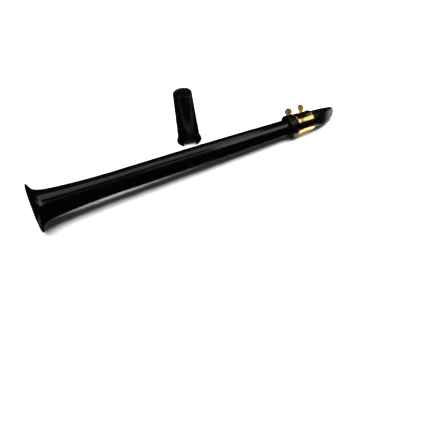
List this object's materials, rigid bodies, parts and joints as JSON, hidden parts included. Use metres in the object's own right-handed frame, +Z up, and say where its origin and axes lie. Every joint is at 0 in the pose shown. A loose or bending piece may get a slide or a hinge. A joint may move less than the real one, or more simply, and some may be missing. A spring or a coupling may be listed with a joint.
{
  "type": "straight pocket reed horn with mouthpiece and cap",
  "caption": "Small straight keyless reed horn with a flared bell, finger holes, a single-reed mouthpiece, a two-screw ligature and a separate upright mouthpiece cap.",
  "frame": {"origin": "middle of the base of the whole object's box, on the surface that the bell's rim, the collar and the cap stand on", "axes": "+X along the horn from the bell to the mouthpiece's tip, +Y from the horn to the cap behind it, +Z up"},
  "size_m": [0.4334, 0.1157, 0.0773],
  "materials": {
    "black_plastic": "high gloss moulded plastic",
    "cork": "fine cork",
    "black_resin": "polished resin",
    "cane": "smooth cane",
    "gold_band": "lacquered, polished",
    "gold_fittings": "lacquered",
    "gold_screws": "lacquered",
    "black_cap": "satin moulded plastic"
  },
  "bodies": {
    "tube": {"body_tube": "black_plastic", "tenon_cork": "cork"},
    "mouthpiece": {"mouthpiece": "black_resin"},
    "reed": {"reed": "cane"},
    "ligature": {"ligature_band": "gold_band", "rear_upper_post": "gold_fittings", "front_upper_post": "gold_fittings", "rear_lower_post": "gold_fittings", "front_lower_post": "gold_fittings"},
    "rear_screw": {"rear_screw": "gold_screws"},
    "front_screw": {"front_screw": "gold_screws"},
    "cap": {"cap": "black_cap"}
  },
  "joints": [
    {"name": "mouthpiece_pull", "type": "slide", "parent": "tube", "child": "mouthpiece", "axis": [0.9991, 0, -0.0418], "range_m": [-0.0005, 0.02]},
    {"name": "ligature_slide", "type": "slide", "parent": "mouthpiece", "child": "ligature", "axis": [0.9991, 0, -0.0418], "range_m": [-0.001, 0.075]},
    {"name": "reed_slide", "type": "slide", "parent": "mouthpiece", "child": "reed", "axis": [0.9991, 0, -0.0418], "range_m": [-0.0008, 0.06]},
    {"name": "rear_screw_turn", "type": "hinge", "parent": "ligature", "child": "rear_screw", "pos_m": [0.14971, -0.0085, 0.01084], "axis": [0.0404, 0.2588, 0.9651], "range_deg": [0, 1440]},
    {"name": "front_screw_turn", "type": "hinge", "parent": "ligature", "child": "front_screw", "pos_m": [0.17009, -0.0085, 0.00999], "axis": [0.0404, 0.2588, 0.9651], "range_deg": [0, 1440]},
    {"name": "cap_lift", "type": "slide", "parent": "tube", "child": "cap", "axis": [0, 0, 1], "range_m": [0, 0.12]}
  ]
}
